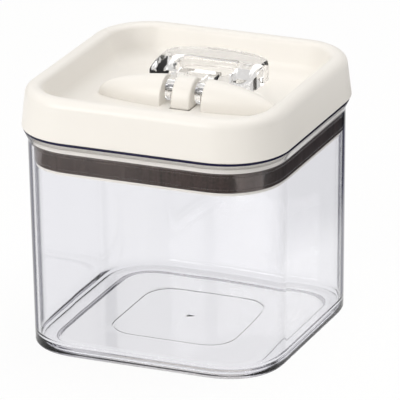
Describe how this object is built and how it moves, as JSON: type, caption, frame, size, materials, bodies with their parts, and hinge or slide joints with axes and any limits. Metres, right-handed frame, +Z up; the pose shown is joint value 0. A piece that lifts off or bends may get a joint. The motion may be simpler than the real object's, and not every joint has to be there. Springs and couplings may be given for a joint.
{
  "type": "lidded storage canister",
  "caption": "Square clear storage canister with rounded corners and a dished lid whose flip handle squeezes a seal ring against the wall.",
  "frame": {"origin": "centre of the foot on the surface the canister stands on", "axes": "+Z up, -Y the front, +X right; the handle lies back towards +Y when closed"},
  "size_m": [0.1158, 0.1158, 0.1118],
  "materials": {
    "clear_plastic": "clear polished moulding",
    "clear_handle": "clear polished moulding",
    "ivory_plastic": "fine satin moulding",
    "seal_rubber": "matt silicone",
    "steel": "bright drawn steel"
  },
  "bodies": {
    "canister": {"canister_body": "clear_plastic"},
    "lid": {"lid_shell": "ivory_plastic", "lid_liner": "ivory_plastic", "liner_screws": "steel", "seal_ring": "seal_rubber"},
    "clamp": {"pull_rod": "ivory_plastic", "bottom_plate": "ivory_plastic", "plate_screw": "steel", "screw_plug": "ivory_plastic"},
    "handle": {"flip_handle": "clear_handle", "hinge_pin": "steel"}
  },
  "joints": [
    {"name": "lid_lift", "type": "slide", "parent": "canister", "child": "lid", "axis": [0, 0, 1], "range_m": [0, 0.06]},
    {"name": "clamp_drop", "type": "slide", "parent": "lid", "child": "clamp", "axis": [0, 0, -1], "range_m": [0, 0.002], "deforming": ["seal_ring"]},
    {"name": "handle_flip", "type": "hinge", "parent": "clamp", "child": "handle", "pos_m": [0, 0, 0.1026], "axis": [1, 0, 0], "range_deg": [0, 90]}
  ],
  "couplings": [
    {"joint": "clamp_drop", "follows": "handle_flip", "m_per_rad": 0.0012732}
  ]
}
